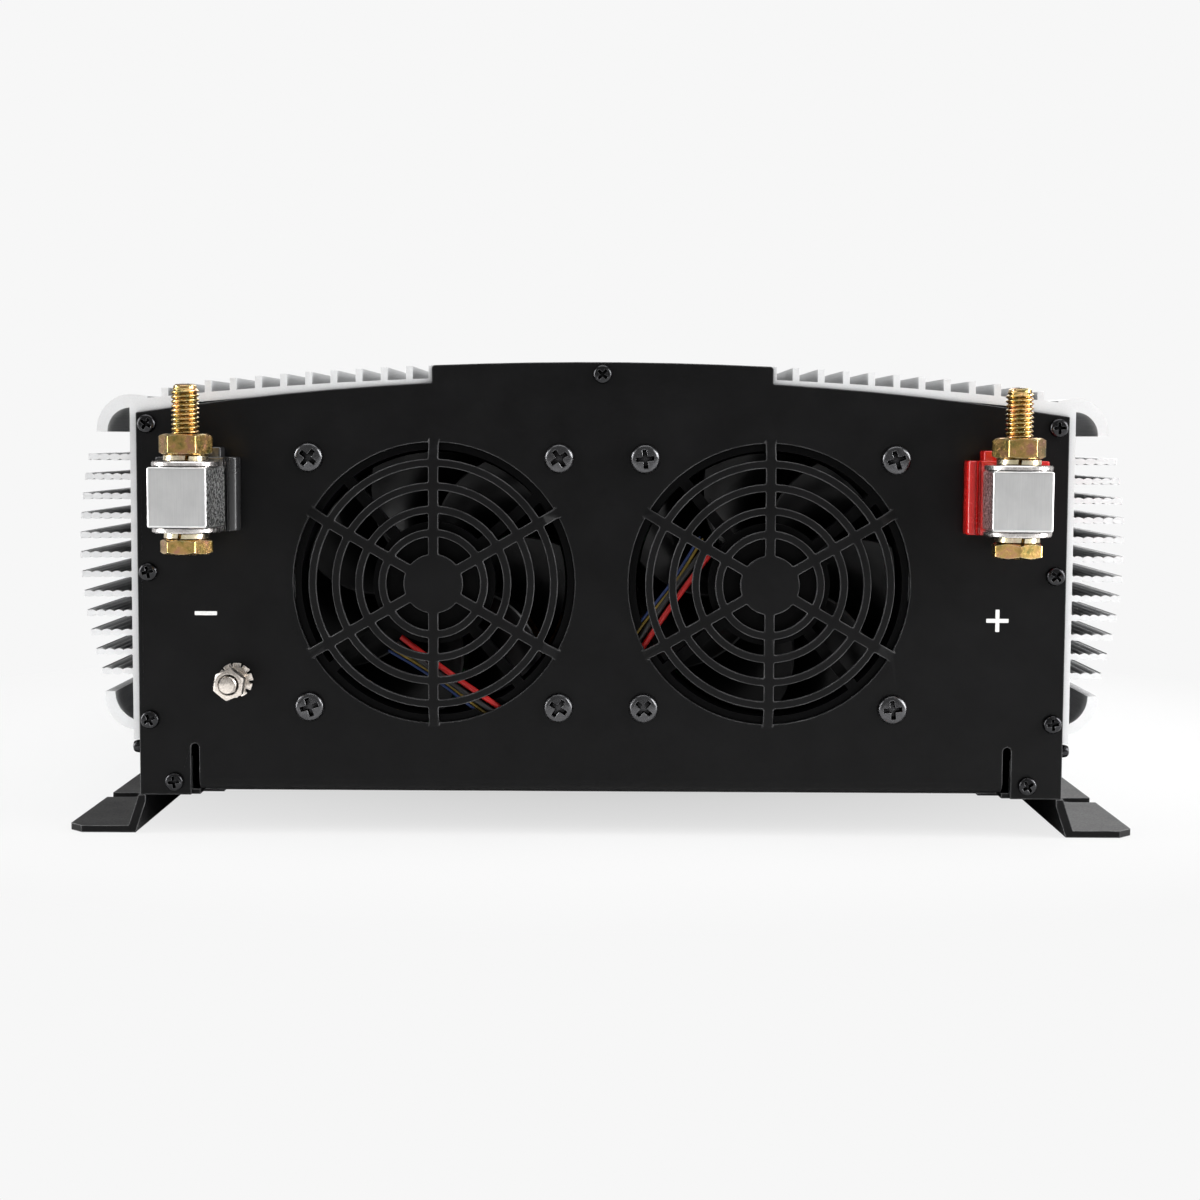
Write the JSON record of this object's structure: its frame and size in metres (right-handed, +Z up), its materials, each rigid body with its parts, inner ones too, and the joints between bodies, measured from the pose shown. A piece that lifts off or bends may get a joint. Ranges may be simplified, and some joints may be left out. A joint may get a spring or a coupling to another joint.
{
  "type": "power inverter",
  "caption": "Wide low power inverter: finned light metal housing, black end plates with fan grilles, bolt terminals, slotted rails, and outlets on the far end.",
  "frame": {"origin": "middle of the footprint between the end plates, on the surface the rails stand on", "axes": "+X to the right of a person who faces the DC end, +Y from the DC end to the AC end, +Z up"},
  "size_m": [0.308, 0.481, 0.1359],
  "materials": {
    "white_anodised_aluminium": "satin anodised",
    "black_textured_paint": "fine textured powder coat",
    "black_zinc_steel": "black zinc plated",
    "dark_nickel_steel": "black nickel plated",
    "rivet_aluminium": "dark",
    "black_insulator": "moulded",
    "red_insulator": "moulded",
    "nickel_plated_brass": "satin nickel plated",
    "yellow_zinc_steel": "yellow chromate zinc",
    "bright_zinc_steel": "bright zinc",
    "black_fan_plastic": "moulded",
    "stator_copper": "enamelled wire",
    "red_lead": "satin",
    "black_lead": "satin",
    "outlet_plastic": "satin",
    "contact_brass": "bright",
    "switch_plastic": "satin",
    "button_plastic": "gloss",
    "port_steel": "bright",
    "lamp_plastic": "translucent",
    "board_green": "solder mask",
    "standoff_brass": "satin",
    "ferrite": "matt",
    "winding_copper": "enamelled",
    "capacitor_sleeve": "sleeve",
    "transistor_epoxy": "moulded",
    "pad_silicone": "matt",
    "clamp_aluminium": "milled",
    "fuse_plastic": "translucent",
    "bar_copper": "satin"
  },
  "bodies": {
    "case": {"upper_housing": "white_anodised_aluminium", "base_cover": "black_textured_paint", "dc_end_plate": "black_textured_paint", "ac_end_plate": "black_textured_paint", "mounting_rail_left": "black_textured_paint", "mounting_rail_right": "black_textured_paint", "ac_terminal_cover": "black_textured_paint", "dc_plate_screws": "black_zinc_steel", "ac_plate_screws": "black_zinc_steel", "base_side_screws": "black_zinc_steel", "ac_cover_screws": "black_zinc_steel", "fan_screws": "dark_nickel_steel", "rail_rivets": "rivet_aluminium", "terminal_insulator_negative": "black_insulator", "terminal_insulator_positive": "red_insulator", "terminal_block_negative": "nickel_plated_brass", "terminal_block_positive": "nickel_plated_brass", "terminal_bolts": "yellow_zinc_steel", "terminal_nuts": "yellow_zinc_steel", "terminal_spring_washers": "yellow_zinc_steel", "terminal_flat_washers": "bright_zinc_steel", "ground_stud": "bright_zinc_steel", "ground_nut": "bright_zinc_steel", "ground_lock_washers": "bright_zinc_steel", "ac_terminal_screws": "bright_zinc_steel", "board_screws": "bright_zinc_steel", "clamp_screws": "bright_zinc_steel", "fan_frame_left": "black_fan_plastic", "fan_frame_right": "black_fan_plastic", "fan_stators": "stator_copper", "fan_leads_red": "red_lead", "fan_leads_black": "black_lead", "ac_outlet_left": "outlet_plastic", "ac_outlet_right": "outlet_plastic", "receptacle_contacts": "contact_brass", "power_switch_frame": "switch_plastic", "remote_port": "switch_plastic", "breaker_bodies": "switch_plastic", "ac_terminal_block": "switch_plastic", "usb_port": "port_steel", "indicator_lamps": "lamp_plastic", "main_board": "board_green", "control_board": "board_green", "board_standoffs": "standoff_brass", "transformer_cores": "ferrite", "transformer_windings": "winding_copper", "output_inductor": "winding_copper", "input_capacitors": "capacitor_sleeve", "bus_capacitors": "capacitor_sleeve", "power_transistors": "transistor_epoxy", "insulation_pads": "pad_silicone", "transistor_clamps": "clamp_aluminium", "fuses": "fuse_plastic", "busbars": "bar_copper"},
    "fan_rotor_left": {"fan_rotor_left": "black_fan_plastic"},
    "fan_rotor_right": {"fan_rotor_right": "black_fan_plastic"},
    "rocker": {"power_rocker": "switch_plastic"},
    "upper_breaker_button": {"breaker_button_upper": "button_plastic"},
    "lower_breaker_button": {"breaker_button_lower": "button_plastic"}
  },
  "joints": [
    {"name": "fan_spin_left", "type": "hinge", "parent": "case", "child": "fan_rotor_left", "pos_m": [-0.048, -0.1975, 0.0727], "axis": [0, -1, 0], "continuous": true},
    {"name": "fan_spin_right", "type": "hinge", "parent": "case", "child": "fan_rotor_right", "pos_m": [0.048, -0.1975, 0.0727], "axis": [0, -1, 0], "continuous": true},
    {"name": "rocker_tilt", "type": "hinge", "parent": "case", "child": "rocker", "pos_m": [0.096, 0.2095, 0.098], "axis": [1, 0, 0], "range_deg": [0, 22]},
    {"name": "upper_breaker_pop", "type": "slide", "parent": "case", "child": "upper_breaker_button", "axis": [0, 1, 0], "range_m": [0, 0.004]},
    {"name": "lower_breaker_pop", "type": "slide", "parent": "case", "child": "lower_breaker_button", "axis": [0, 1, 0], "range_m": [0, 0.004]}
  ]
}
